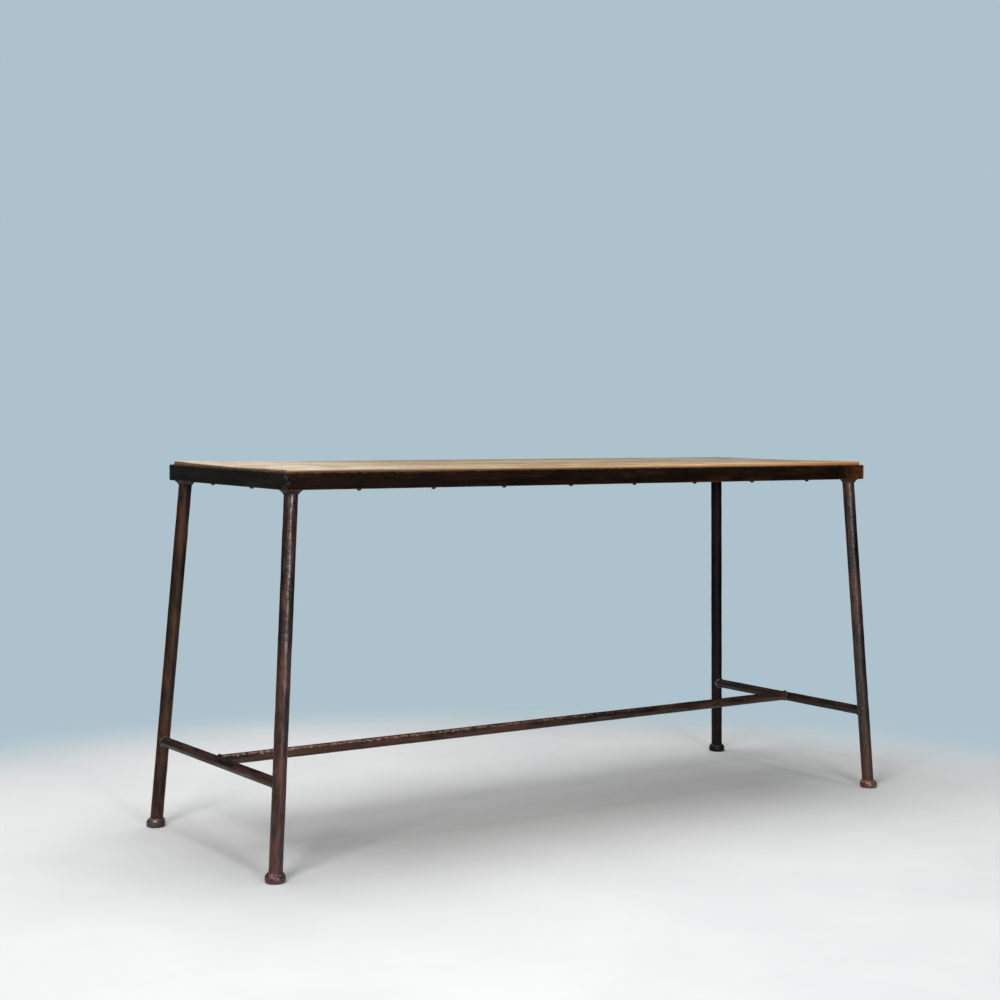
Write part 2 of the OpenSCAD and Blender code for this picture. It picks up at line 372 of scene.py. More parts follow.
# %% Leg and stretcher finishes
# The last tone of each finish is its pale edge colour. On the front legs and the long stretcher it
# also paints a highlight.
leg_irons = {
    "front_left": iron_finish(
        "leg_front_left_iron", (26, 15, 12), (82, 54, 43), (90, 46, 32), (176, 156, 144),
        UPRIGHT, soot=0.7, gloss=0.28, coat=1.0, oiled_above=0.25),
    "front_right": iron_finish(
        "leg_front_right_iron", (16, 12, 10), (66, 52, 43), (92, 52, 30), (150, 136, 120),
        UPRIGHT, soot=0.7, gloss=0.28, corner=hot_corner, coat=0.8, oiled_above=0.1),
    "rear_left": iron_finish(
        "leg_rear_left_iron", (24, 15, 9), (80, 52, 30), (84, 46, 24), (124, 106, 84),
        UPRIGHT, soot=0.7, gloss=0.34, shine=0.35),
    "rear_right": iron_finish(
        "leg_rear_right_iron", (6, 4, 3), (18, 10, 8), (44, 18, 14), (48, 38, 32),
        UPRIGHT, soot=0.8, metal=0.0, shine=0.15),
}
stretcher_iron = {
    "left": iron_finish(
        "stretcher_left_iron", (26, 20, 17), (74, 58, 50), (80, 46, 32), (132, 116, 104),
        CROSSWISE, soot=0.7),
    "right": iron_finish(
        "stretcher_right_iron", (14, 11, 9), (44, 34, 28), (54, 32, 22), (92, 80, 70),
        CROSSWISE, soot=0.7, metal=0.2),
    "long": iron_finish(
        "stretcher_long_iron", (26, 16, 13), (94, 66, 53), (88, 48, 33), (222, 190, 172),
        LENGTHWISE, soot=0.6, pits=260.0, depth=0.6, gloss=0.32),
}

# %% Foot, weld and screw finishes
foot_irons = {
    "front_left": iron_finish(
        "foot_front_left_iron", (44, 26, 28), (98, 66, 64), (82, 40, 36), (184, 162, 156),
        EVEN, gloss=0.24, pits=240.0, depth=0.6, soot=0.35, coat=0.4),
    "front_right": iron_finish(
        "foot_front_right_iron", (56, 34, 24), (126, 90, 72), (92, 50, 34), (184, 152, 132),
        EVEN, gloss=0.26, pits=240.0, depth=0.6, soot=0.3, coat=0.35),
    "rear_left": iron_finish(
        "foot_rear_left_iron", (30, 22, 22), (112, 96, 92), (62, 38, 34), (190, 178, 172),
        EVEN, gloss=0.24, pits=220.0, depth=0.8, soot=0.45, coat=0.4),
    "rear_right": iron_finish(
        "foot_rear_right_iron", (6, 5, 4), (18, 14, 12), (30, 17, 13), (96, 84, 72),
        EVEN, gloss=0.3, metal=0.0, pits=240.0, depth=0.7, soot=0.5, shine=0.2),
}
weld_metal = iron_finish(
    "weld_metal", (18, 12, 9), (54, 39, 29), (70, 40, 24), (190, 176, 150), EVEN,
    spread=0.4, gloss=0.32, metal=0.4, pits=650.0, depth=0.5, soot=0.6, corner=hot_corner)
screw_iron = iron_finish(
    "screw_iron", (18, 14, 12), (58, 48, 40), (76, 46, 30), (150, 136, 120), EVEN,
    spread=0.4, gloss=0.3, metal=0.6, pits=900.0)

# %% [markdown]
# ## Wood
# The top is softwood plank, sawn flat, worn and greyed by years of use; towards the far
# right corner the grey is partly painted reflection of the cool backdrop. Real grain is a
# solid thing: rings round a pith that runs along the board, cut by whatever face shows.
# So the pattern is made in space, as distance from a line under the board, and the end
# grain and the long figure on the face come from the same rings. Each board takes the
# recipe with its own pith and tone.

# %% Grain
plank_grain, source, sink = new_group(
    "plank_grain", {"Vector": None, "Ring": 0.006}, ["Rings", "Fibres", "Pores"])


def grain_noise(stretch, *more):
    return speckle(plank_grain, scaled(plank_grain, source["Vector"], stretch), 1.0, *more)


sway = add(plank_grain, "ShaderNodeTexNoise",
           {"Vector": scaled(plank_grain, source["Vector"], (1.3, 9.0, 9.0)), "Scale": 1.0,
            "Detail": 3.0}).outputs[1]
centred = vectors(plank_grain, "SUBTRACT", sway, (0.5, 0.5, 0.5))
swayed = vectors(plank_grain, "ADD", source["Vector"],
                 scaled(plank_grain, centred, (0.0, 0.05, 0.05)))
across = scaled(plank_grain, swayed, (0.0, 1.0, 1.0))
from_pith = vectors(plank_grain, "LENGTH", across, (0.0, 0.0, 0.0))
count = plus(plank_grain, calc(plank_grain, "DIVIDE", from_pith, source["Ring"]),
             times(plank_grain, grain_noise((3.0, 60.0, 60.0)), 0.8))
within = calc(plank_grain, "FRACT", count)
rings = times(plank_grain, fade(plank_grain, within, 0.25, 0.95),
              fade(plank_grain, within, 1.0, 0.93))
fibres = fade(plank_grain, grain_noise((9.0, 420.0, 420.0), 4.0, 0.6), 0.3, 0.7)
pores = fade(plank_grain, grain_noise((30.0, 900.0, 900.0), 2.0), 0.6, 0.72)
plank_grain.links.new(rings, sink["Rings"])
plank_grain.links.new(fibres, sink["Fibres"])
plank_grain.links.new(pores, sink["Pores"])

# %% Knife marks
knife_marks, source, sink = new_group("knife_marks", {"Vector": None, "Density": 5.0}, ["Mask"])
bent = add(knife_marks, "ShaderNodeTexNoise",
           {"Vector": source["Vector"], "Scale": 3.0}).outputs[1]
curved = vectors(knife_marks, "ADD", source["Vector"],
                 scaled(knife_marks, bent, (0.05, 0.05, 0.0)))
lines = add(knife_marks, "ShaderNodeTexVoronoi",
            {"Vector": scaled(knife_marks, curved, (1.0, 1.0, 0.0)),
             "Scale": source["Density"]}, feature="DISTANCE_TO_EDGE").outputs["Distance"]
kept = fade(knife_marks, speckle(knife_marks, source["Vector"], 11.0, 2.0), 0.52, 0.6)
thin = fade(knife_marks, lines, 0.009, 0.002)
knife_marks.links.new(times(knife_marks, thin, kept), sink["Mask"])

# %% [markdown]
# ## One recipe for five boards
# The order of the layers is the order in which the wood got them. First come the rings,
# fibres, pores and knots. Sun has bleached the left end, and the far right corner is grey,
# partly from damp and partly as painted reflection of the cool backdrop. Knife marks and
# stains follow. The edges are worn pale and given a painted highlight, and dirt packs the
# seams. The flanks are darker and browner than the top, paler towards the right, and rust
# from the welded corner has run into the wood there. A dark line of painted shade runs
# along the foot of each flank, where the wood meets the rim.

# %% Board recipe
WOOD = {
    "fibres": tint(190, 174, 146), "pores": tint(84, 62, 42), "knots": tint(74, 46, 26),
    "bands": tint(126, 98, 64), "bleached": tint(222, 212, 192),
    "greyed_and_reflected": tint(146, 142, 133), "greyest": tint(100, 102, 101), "cuts": tint(96, 74, 52),
    "stains": tint(116, 92, 66), "rubbed_and_sheen": tint(212, 190, 152), "packed": tint(48, 36, 26),
    "left flank": tint(120, 80, 46), "right flank": tint(214, 160, 106),
    "rusty": tint(188, 118, 54), "shade_line_at_rim": tint(44, 28, 17), "under": tint(92, 72, 52),
}
KNOT_SHAPE = (0.55, 1.0, 0.2)
WOOD_DEPTH = 0.5 * MM


def raw_wood(tree, where, grain, pale, late, knots):
    colour = laid(tree, pale, grain["Rings"], 0.78, late)
    colour = laid(tree, colour, grain["Fibres"], 0.35, WOOD["fibres"])
    colour = laid(tree, colour, grain["Pores"], 0.5, WOOD["pores"])
    for centre, size in knots:
        middle = [a * b for a, b in zip(centre, KNOT_SHAPE)]
        disc = near(tree, scaled(tree, where, KNOT_SHAPE), middle, size)
        colour = mixed(tree, fade(tree, disc, 0.1, 0.8, 0.0, 0.85), colour, WOOD["knots"])
    streaky = scaled(tree, where, (0.07, 1.0, 1.0))
    bands = fade(tree, speckle(tree, streaky, 42.0, 5.0, 0.68), 0.48, 0.62)
    return laid(tree, colour, bands, 0.62, WOOD["bands"])


def weathered_and_reflected(tree, colour, spots, clouds):
    bleached = fade(tree, spots[0], -0.3, -0.7, 0.0, 0.54)
    colour = mixed(tree, bleached, colour, WOOD["bleached"])
    # Towards the far right corner the top goes grey: partly weathered wood, partly painted reflection
    # of the cool backdrop.
    far_corner = plus(tree, spots[0], times(tree, spots[1], 1.2))
    grey_and_reflection = plus(tree, fade(tree, far_corner, 0.0, 1.0), times(tree, clouds, 0.42))
    tone = mixed(tree, fade(tree, far_corner, 0.55, 1.05), WOOD["greyed_and_reflected"], WOOD["greyest"])
    return laid(tree, colour, grey_and_reflection, 0.84, tone)


def handled_edges(tree, colour, where, long_way, spots, fibres):
    # Pale edges round the top: worn wood, made brighter as a painted highlight along the arris.
    rubbed_and_sheen = place(tree, edge_wear_and_sheen, Vector=long_way, Edge=attribute(tree, "arris"), Amount=0.6)
    colour = laid(tree, colour, rubbed_and_sheen["Mask"], 0.62, WOOD["rubbed_and_sheen"])
    packed = plus(tree, attribute(tree, "seam"), times(tree, fibres, 0.2))
    colour = laid(tree, colour, fade(tree, packed, 0.55, 1.05), 0.85, WOOD["packed"])
    # The sides of the boards are coloured darker and browner than the top, darker at the left and
    # paler towards the right.
    side_on = attribute(tree, "flank")
    flank = mixed(tree, fade(tree, spots[0], -0.7, 0.5), WOOD["left flank"],
                  WOOD["right flank"])
    side_tone = times(tree, side_on, fade(tree, fibres, 0.0, 1.0, 0.65, 0.95))
    colour = mixed(tree, side_tone, colour, flank)
    rusty = near(tree, where, (END_X, -FACE_Y, RIM_TOP + 4 * MM), 0.3)
    worn_side = times(tree, rusty, fade(tree, side_on, 0.0, 1.0, 0.25, 0.9))
    colour = mixed(tree, worn_side, colour, WOOD["rusty"])
    # A dark line along the foot of each flank, just above the rim, is painted shade of the gap between
    # wood and iron.
    shade_by_rim = fade(tree, spots[2], RIM_TOP + 1.8 * MM, RIM_TOP + 0.3 * MM)
    colour = laid(tree, colour, times(tree, side_on, shade_by_rim), 0.8, WOOD["shade_line_at_rim"])
    return laid(tree, colour, attribute(tree, "under"), 0.7, WOOD["under"])


def board_finish(name, pith, lean, ring, pale, late, knots):
    material, tree, shader, where = new_material(name)
    turned = add(tree, "ShaderNodeMapping",
                 {"Vector": where, "Location": pith, "Rotation": lean}).outputs[0]
    grain = place(tree, plank_grain, Vector=turned, Ring=ring)
    colour = raw_wood(tree, where, grain, tint(*pale), tint(*late), knots)
    long_way = scaled(tree, where, (0.25, 1.0, 1.0))
    spots = add(tree, "ShaderNodeSeparateXYZ", {0: where}).outputs
    clouds = place(tree, handling_grime, Vector=long_way, Size=14.0, Amount=1.0)["Mask"]
    colour = weathered_and_reflected(tree, colour, spots, clouds)
    slanted = add(tree, "ShaderNodeMapping", {"Vector": where, "Scale": (1.0, 2.6, 1.0),
                                              "Rotation": (0.0, 0.0, 0.5)}).outputs[0]
    cuts = place(tree, knife_marks, Vector=slanted, Density=6.0)["Mask"]
    colour = laid(tree, colour, cuts, 0.5, WOOD["cuts"])
    stains = place(tree, handling_grime, Vector=where, Size=9.0, Amount=0.45)
    colour = mixed(tree, stains["Mask"], colour, WOOD["stains"])
    colour = handled_edges(tree, colour, where, long_way, spots, grain["Fibres"])
    height = less(tree, times(tree, grain["Rings"], 0.5), times(tree, grain["Pores"], 0.9))
    height = plus(tree, height, times(tree, grain["Fibres"], 0.4))
    height = less(tree, height, cuts)
    rough = fade(tree, clouds, 0.0, 1.0, 0.5, 0.72)
    dress(tree, shader, colour, rough, height, 0.45, WOOD_DEPTH)
    shader.inputs["Specular IOR Level"].default_value = 0.35
    print("finish:", name)
    return material


# %% Each board's pith, lean, ring width, tones and knots
BOARD_LOOKS = {
    "board_front": ((0.0, 0.215, -0.66), (0.0, 0.012, 0.02), 0.0065, (190, 167, 129),
                    (134, 100, 64), [((0.31, -0.19, 0.77), 0.011)]),
    "board_mid_front": ((0.0, 0.12, -0.70), (0.0, -0.016, -0.012), 0.0052, (160, 137, 103),
                        (124, 94, 62),
                        [((-0.43, -0.085, 0.77), 0.013), ((0.58, -0.12, 0.77), 0.008)]),
    "board_centre": ((0.0, -0.02, -0.64), (0.0, 0.01, 0.025), 0.0072, (186, 162, 123),
                     (132, 96, 60), [((0.12, 0.02, 0.77), 0.012)]),
    "board_mid_rear": ((0.0, -0.07, -0.69), (0.0, -0.02, 0.01), 0.0056, (148, 130, 100),
                       (120, 93, 64), [((-0.18, 0.11, 0.77), 0.01)]),
    "board_rear": ((0.0, -0.22, -0.655), (0.0, 0.015, -0.02), 0.0062, (170, 149, 115),
                   (124, 96, 64), [((0.49, 0.19, 0.77), 0.012)]),
}
print("boards:", list(BOARD_LOOKS))

# %% [markdown]
# ## Turning a bmesh into a piece
# Every piece is finished the same way: doubles merged, faces turned outward, smooth
# shading with hard edges kept, its finish put on, and it is hung on its body while the
# CAD node it stands for is hidden. A few operators are needed
# again and again with the same settings, so each has a short name here.

# %% Piece helper
TRIS = {}
SAME_SPOT = 0.5e-6


def make_piece(shape, name, material, crease=35):
    bmesh.ops.remove_doubles(shape, verts=shape.verts, dist=SAME_SPOT)
    bmesh.ops.recalc_face_normals(shape, faces=shape.faces)
    mesh = bpy.data.meshes.new(name + "_mesh")
    shape.to_mesh(mesh)
    open_edges = sum(1 for edge in shape.edges if len(edge.link_faces) != 2)
    shape.free()
    for face in mesh.polygons:
        face.use_smooth = True
    mesh.set_sharp_from_angle(angle=math.radians(crease))
    mesh.materials.append(material)
    piece = bpy.data.objects.new(name + "_piece", mesh)
    bpy.context.scene.collection.objects.link(piece)
    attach(piece, BODY)
    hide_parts(name)
    mesh.calc_loop_triangles()
    TRIS[name] = len(mesh.loop_triangles)
    print("piece:", name, TRIS[name], "triangles,", open_edges, "open edges")


# %% Small modelling helpers
def box_of(node):
    return tuple(Vector(corner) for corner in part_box(node))


def weights(shape, label):
    return shape.verts.layers.float.new(label)


def only(kind, geom):
    return [part for part in geom if isinstance(part, kind)]


def spans(edge, axis, least):
    return abs((edge.verts[0].co - edge.verts[1].co)[axis]) > least


def cut_through(shape, point, facing, clear=False, dist=1e-7):
    """Cut along a plane. With clear, what lies beyond it goes and the hole is filled."""
    geom = shape.verts[:] + shape.edges[:] + shape.faces[:]
    cut = bmesh.ops.bisect_plane(shape, geom=geom, dist=dist, plane_co=point,
                                 plane_no=facing, clear_outer=clear)
    if clear:
        bmesh.ops.holes_fill(shape, edges=only(bmesh.types.BMEdge, cut["geom_cut"]))


def pull(shape, geom, by):
    """Extrude faces and move the new ones."""
    pulled = bmesh.ops.extrude_face_region(shape, geom=geom)
    moved = only(bmesh.types.BMVert, pulled["geom"])
    bmesh.ops.translate(shape, verts=moved, vec=by)


def spin_round(shape, geom, steps):
    bmesh.ops.spin(shape, geom=geom, axis=(0, 0, 1), cent=(0, 0, 0), angle=math.tau,
                   steps=steps, use_merge=True, use_duplicate=False)


def add_drop(shape, edge, spot, size, bright, subdivisions=1):
    drop = bmesh.ops.create_icosphere(shape, subdivisions=subdivisions, radius=size,
                                      matrix=Matrix.Translation(spot))
    for vert in drop["verts"]:
        vert[edge] = bright


print("body:", BODY, "and", len(frame["nodes"]), "nodes to stand in for")

# %% [markdown]
# ## The boards
# Five planks lie side by side in the rim and stand a little proud of it. Each starts as a
# cube, cut into a grid that is finer along its edges. Every corner and edge is then
# rounded by pulling points in to a smaller box and pushing them back out by a radius. The
# radius changes along the board, so the arris is soft here and chipped there, which a
# bevel of one size can't give. Last, the top is dished and rolled off towards the outer
# edges, lowest where arms and cloth have rubbed it most.

# %% Board grid
FINE_STEPS = 4
FINE = 1.1 * MM
GRID = (200, 17, 9)


def edged(share, cells, length):
    step = round(share * cells)
    if step <= FINE_STEPS:
        return step * FINE
    if step >= cells - FINE_STEPS:
        return length - (cells - step) * FINE
    middle = length - 2 * FINE_STEPS * FINE
    return FINE_STEPS * FINE + middle * (step - FINE_STEPS) / (cells - 2 * FINE_STEPS)


def board_grid():
    shape = bmesh.new()
    bmesh.ops.create_cube(shape, size=1.0)
    for axis, cells in enumerate(GRID):
        ways = [edge for edge in shape.edges if spans(edge, axis, 0.5)]
        bmesh.ops.subdivide_edges(shape, edges=ways, cuts=cells - 1, use_grid_fill=True)
    return shape


print("cells along, across and through a board:", GRID)

# %% How the top is dished and worn
TOP_LO = box_of("board_front")[0]
TOP_HI = box_of("board_rear")[1]
CREST = 1.0 * MM
ROLL_REACH = 0.1


def smooth(value):
    value = min(max(value, 0.0), 1.0)
    return value * value * (3 - 2 * value)


def bump_at(value, centre, reach):
    return smooth(1 - abs(value - centre) / reach)


def edge_drop(x, y):
    """How far the arris lies below the highest point of the top, by the nearest edge."""
    ripple = 0.5 * MM * noise(Vector((x * 9, y * 9, 1.7)))
    front = 4.0 * MM - 4.2 * MM * smooth((x + 0.1) / 0.8)
    back = 4.3 * MM + 1.2 * MM * bump_at(x, -0.25, 0.3) - 2.9 * MM * bump_at(x, -0.74, 0.22)
    left = 3.6 * MM + 1.8 * MM * bump_at(y, -0.04, 0.14) - 2.5 * MM * bump_at(y, 0.24, 0.12)
    right = 3.8 * MM - 3.4 * MM * smooth((-0.02 - y) / 0.2)
    return {"front": front + ripple, "back": back + ripple, "left": left + ripple,
            "right": right + ripple}


def top_drop(x, y):
    drops = edge_drop(x, y)
    gaps = {"front": y - TOP_LO.y, "back": TOP_HI.y - y, "left": x - TOP_LO.x,
            "right": TOP_HI.x - x}
    drop = CREST + 0.35 * MM * noise(Vector((x * 4, y * 11, 3.1)))
    for side, gap in gaps.items():
        share = max(0.0, 1 - gap / ROLL_REACH)
        drop = max(drop, CREST * (1 - share ** 1.5) + drops[side] * share ** 1.5)
    return max(drop, 0.05 * MM)


print("fall at the middle of the front edge:", round(top_drop(0.0, TOP_LO.y) / MM, 2), "mm")

# %% Board shape
SEAM_GAP = 0.35 * MM
ROUND_OUTER = 1.9
ROUND_SEAM = 1.2
ROUND_UNDER = 1.0
MOST_FALL = 7 * MM
SEAM_REACH = 2.2 * MM
ARRIS_REACH = 7 * MM
UNDER_REACH = 10 * MM


def make_board(index, name):
    lo, hi = box_of(name)
    first, last = index == 0, index == len(BOARD_LOOKS) - 1
    shift = random.Random(40 + index)
    tip = shift.uniform(-0.35, 0.35) * MM
    sunk = shift.uniform(0.0, 0.3) * MM
    shape = board_grid()
    arris, seam, under, flank = (weights(shape, label)
                                 for label in ("arris", "seam", "under", "flank"))
    size = hi - lo
    for vert in shape.verts:
        at = Vector(edged(vert.co[k] + 0.5, GRID[k], size[k]) for k in range(3)) + lo
        rough = noise(Vector((at.x * 38, at.y * 38, index * 7.3)))
        chip = max(0.0, noise(Vector((at.x * 16, at.y * 30, index + 20.5))) - 0.28)
        on_outer = (first and at.y - lo.y < size.y / 2) or (last and hi.y - at.y < size.y / 2)
        by_end = min(at.x - lo.x, hi.x - at.x) < 8 * MM
        is_top = at.z > (lo.z + hi.z) / 2
        upper_round = ROUND_OUTER if on_outer or by_end else ROUND_SEAM
        round_by = (upper_round if is_top else ROUND_UNDER) * MM
        round_by *= 1 + 0.4 * rough + 4.0 * chip * is_top
        core = Vector(min(max(at[k], lo[k] + round_by), hi[k] - round_by) for k in range(3))
        away = at - core
        facing = away.normalized()
        at = core + facing * round_by
        outward = max(abs(facing.x), -facing.y if first else 0.0, facing.y if last else 0.0)
        vert[flank] = smooth((outward - 0.3) / 0.45)
        to_front = at.y - lo.y
        to_back = hi.y - at.y
        squeeze = SEAM_GAP * (1 + 0.8 * noise(Vector((at.x * 7, at.z * 3, index + 5.0))))
        if not first:
            at.y += squeeze * max(0.0, 1 - to_front / (size.y / 2))
        if not last:
            at.y -= squeeze * max(0.0, 1 - to_back / (size.y / 2))
        height = max(0.0, (at.z - (lo.z + hi.z) / 2) / (size.z / 2))
        across_share = to_front / size.y - 0.5
        fallen = top_drop(at.x, at.y) + sunk + tip * across_share * 2
        at.z -= min(fallen, MOST_FALL) * height
        gap_seam = min(to_front if not first else 1.0, to_back if not last else 1.0)
        gap_outer = min(at.x - TOP_LO.x, TOP_HI.x - at.x, at.y - TOP_LO.y, TOP_HI.y - at.y)
        vert[seam] = math.exp(-gap_seam / SEAM_REACH)
        vert[arris] = math.exp(-gap_outer / ARRIS_REACH) * (1.0 if is_top else 0.2)
        vert[under] = 1.0 - smooth((at.z - lo.z) / UNDER_REACH)
        vert.co = at
    return shape


for index, name in enumerate(BOARD_LOOKS):
    finish = board_finish(name + "_wood", *BOARD_LOOKS[name])
    make_piece(make_board(index, name), name, finish, crease=50)

# %% [markdown]
# ## The rim
# Four lengths of angle bar, mitred and welded, hold the boards like a shallow tray. A bar
# is drawn as the L of its section, pulled out to length, and cut to 45 degrees at both
# ends with planes, as a saw would. Rolled bar has rounded toes and a slightly soft heel,
# so those edges are bevelled before the long faces are divided for a very faint wave.

# %% Rim bars
BAR_T = 4.8 * MM
BAR_LEG = RIM_TOP - UNDER_Z
TOE_R = 2.0 * MM
HEEL_R = 0.9 * MM
ROOT_R = 0.7 * MM
SHARP_R = 0.6 * MM
LONG_CUTS = 120
SHORT_CUTS = 44


def soften(shape, corner, radius, segments):
    edges = [edge for edge in shape.edges if all(
        abs(v.co.y - corner[0]) < 1e-5 and abs(v.co.z - corner[1]) < 1e-5
        for v in edge.verts)]
    bmesh.ops.bevel(shape, geom=edges, offset=radius, affect="EDGES", segments=segments,
                    profile=0.5, material=-1)


def make_bar(length, cuts, phase):
    """A bar along X: outer face on y = 0, underside on z = 0, inwards is +y."""
    shape = bmesh.new()
    corners = [(0, 0), (BAR_LEG, 0), (BAR_LEG, BAR_T), (BAR_T, BAR_T), (BAR_T, BAR_LEG),
               (0, BAR_LEG)]
    ring = [shape.verts.new((-length / 2, y, z)) for y, z in corners]
    pull(shape, [shape.faces.new(ring)], (length, 0, 0))
    for corner, radius, segments in (((0, 0), HEEL_R, 3), ((BAR_LEG, BAR_T), TOE_R, 4),
                                     ((BAR_T, BAR_LEG), TOE_R, 4), ((BAR_T, BAR_T), ROOT_R, 2),
                                     ((BAR_LEG, 0), SHARP_R, 2), ((0, BAR_LEG), SHARP_R, 2)):
        soften(shape, corner, radius, segments)
    for end in (-1, 1):
        cut_through(shape, (end * length / 2, 0, 0), (end * 1.0, 1.0, 0), clear=True)
    lengthwise = [e for e in shape.edges if spans(e, 0, length / 2)]
    bmesh.ops.subdivide_edges(shape, edges=lengthwise, cuts=cuts, use_grid_fill=True)
    for facing in (Vector((0, 0, 1)), Vector((0, 1, 0))):
        for k in range(4):
            cut_through(shape, facing * ((4 + 7.5 * k) * MM), facing, dist=1e-6)
    edge = weights(shape, "edge")
    for vert in shape.verts:
        x, y, z = vert.co
        corner_gap = min(math.hypot(y, z), math.hypot(y - BAR_LEG, z),
                         math.hypot(y, z - BAR_LEG))
        vert[edge] = math.exp(-corner_gap / (2.5 * MM))
        wave = noise(Vector((x * 5, phase, 0.0))) * 0.35 * MM
        dent = noise(Vector((x * 26, z * 30 + phase, y * 30))) * 0.16 * MM
        steady = smooth((length / 2 - abs(x)) / 0.06)
        vert.co = (x, y + (wave + dent) * steady, z + (0.4 * wave + 0.5 * dent) * steady)
    return shape


RIM_SIDES = {"front": (0, -FACE_Y), "rear": (180, -FACE_Y), "left": (-90, -END_X),
             "right": (90, -END_X)}
for side, (turned, outward) in RIM_SIDES.items():
    lo, hi = box_of("rim_" + side)
    long_side = side in ("front", "rear")
    length = hi.x - lo.x if long_side else hi.y - lo.y
    bar = make_bar(length, LONG_CUTS if long_side else SHORT_CUTS, turned * 0.1)
    place_bar = Matrix.Rotation(math.radians(turned), 4, "Z") @ Matrix.Translation(
        (0, outward, UNDER_Z))
    bmesh.ops.transform(bar, matrix=place_bar, verts=bar.verts)
    make_piece(bar, "rim_" + side, rim_long_iron if long_side else rim_short_iron)

# %% [markdown]
# ## Pipes
# Legs and stretchers are gas pipe: a wall with a bore, not a bar. A pipe here is two
# open cylinders of the same many rings, bridged at their ends. The rings are made first
# in a plain frame, one unit long, and each point is then sent to its place by a function.
# That way the same pipe can end level against the rim, or be coped to fit round another
# pipe as a fitter's saddle cut does, without a boolean.

# %% Pipe helpers
LEG_R = 13.45 * MM
LEG_BORE = 10.85 * MM
LEG_INSET = 24.5 * MM
STR_R = 10.65 * MM
STR_BORE = 8.35 * MM
LEG_SIDES = {"front_left": (-1, -1), "front_right": (1, -1), "rear_left": (-1, 1),
             "rear_right": (1, 1)}


class LegLine:
    """The axis of a leg, from the middle of its foot on the floor to the rim above."""

    def __init__(self, corner):
        self.side = LEG_SIDES[corner]
        middle = sum(box_of("foot_" + corner), Vector()) / 2
        self.floor = Vector((middle.x, middle.y, 0))
        self.top = Vector((self.side[0] * (END_X - LEG_INSET),
                           self.side[1] * (FACE_Y - LEG_INSET), UNDER_Z))
        self.way = (self.top - self.floor).normalized()
        self.across = Vector((0, 1, 0)).cross(self.way).normalized()
        self.beside = self.way.cross(self.across)

    def at_height(self, z):
        return self.floor + self.way * (z / self.way.z)

    def round_point(self, z, angle, radius):
        out = self.across * math.cos(angle) + self.beside * math.sin(angle)
        point = self.at_height(z) + out * radius
        return point + self.way * ((z - point.z) / self.way.z)

    def meets(self, x, z, radius):
        """Where a line along Y at x and z enters and leaves the leg."""
        start = Vector((x, 0, z)) - self.floor
        flat = start - self.way * start.dot(self.way)
        run = Vector((0, 1, 0)) - self.way * self.way.y
        a, b = run.dot(run), flat.dot(run)
        root = math.sqrt(max(b * b - a * (flat.dot(flat) - radius * radius), 0.0))
        return (-b - root) / a, (-b + root) / a


LEGS = {corner: LegLine(corner) for corner in LEG_SIDES}
for corner, line in LEGS.items():
    print("leg", corner, "leans", round(math.degrees(line.way.angle(Vector((0, 0, 1)))), 2), "degrees")


# %% Pipe shape
def make_pipe(send, rings, segments=48, bore_rings=6):
    """send(share, angle, inner) gives the place of a point and its edge weight."""
    shape = bmesh.new()
    edge = weights(shape, "edge")
    for radius, cuts in ((1.0, rings), (0.5, bore_rings)):
        made = bmesh.ops.create_cone(shape, cap_ends=False, segments=segments, radius1=radius,
                                     radius2=radius, depth=1.0)
        sides = {e for v in made["verts"] for e in v.link_edges if spans(e, 2, 0.5)}
        bmesh.ops.subdivide_edges(shape, edges=list(sides), cuts=cuts, use_grid_fill=True)
    for vert in shape.verts:
        x, y, z = vert.co
        vert.co, vert[edge] = send(z + 0.5, math.atan2(y, x), math.hypot(x, y) < 0.75)
    open_ends = [e for e in shape.edges if len(e.link_faces) == 1]
    ends = {}
    first = open_ends[0].verts[0].co.copy()
    for e in open_ends:
        middle = (e.verts[0].co + e.verts[1].co) / 2
        ends.setdefault((middle - first).length > 0.1, []).append(e)
    for loops in ends.values():
        bmesh.ops.bridge_loops(shape, edges=loops)
    return shape


# %% [markdown]
# ## Legs
# A leg leans out both ways and is cut level, top and bottom, so its ends are ellipses.
# Old pipe is never quite round: a faint wave runs down it, and it is dented near the
# floor where it has been kicked.

# %% Leg shapes
FOOT_SOLE = 5.0 * MM
LEG_RINGS = 130


def make_leg(corner, number):
    line = LEGS[corner]

    def send(share, angle, inner):
        z = FOOT_SOLE + (UNDER_Z - FOOT_SOLE) * share
        if inner:
            return line.round_point(z, angle, LEG_BORE), 0.0
        facing = Vector((math.cos(angle), math.sin(angle), 0))
        wave = noise(Vector((facing.x * 1.1, facing.y * 1.1, z * 9 + number * 10))) * 0.35
        dents = noise(Vector((facing.x * 3, facing.y * 3, z * 45 + number * 10))) * 0.22
        kicked = max(0.0, noise(Vector((facing.x * 1.5, facing.y * 1.5,
                                        z * 22 + number * 30))) - 0.2) * -1.2
        held = smooth((z - 24 * MM) / 0.03) * smooth((UNDER_Z - 12 * MM - z) / 0.03)
        radius = LEG_R + (wave + dents + kicked) * MM * held
        # Edge weight: worn pale near the floor, and on the front legs a painted highlight over the
        # upper part.
        rubbed_and_sheen = math.exp(-z / 0.06) * 0.3
        if corner.startswith("front"):
            rubbed_and_sheen += 0.42 * smooth((z - 0.4) / 0.25)
        return line.round_point(z, angle, radius), rubbed_and_sheen

    return make_pipe(send, rings=LEG_RINGS)


for number, corner in enumerate(LEG_SIDES):
    make_piece(make_leg(corner, number), "leg_" + corner, leg_irons[corner])

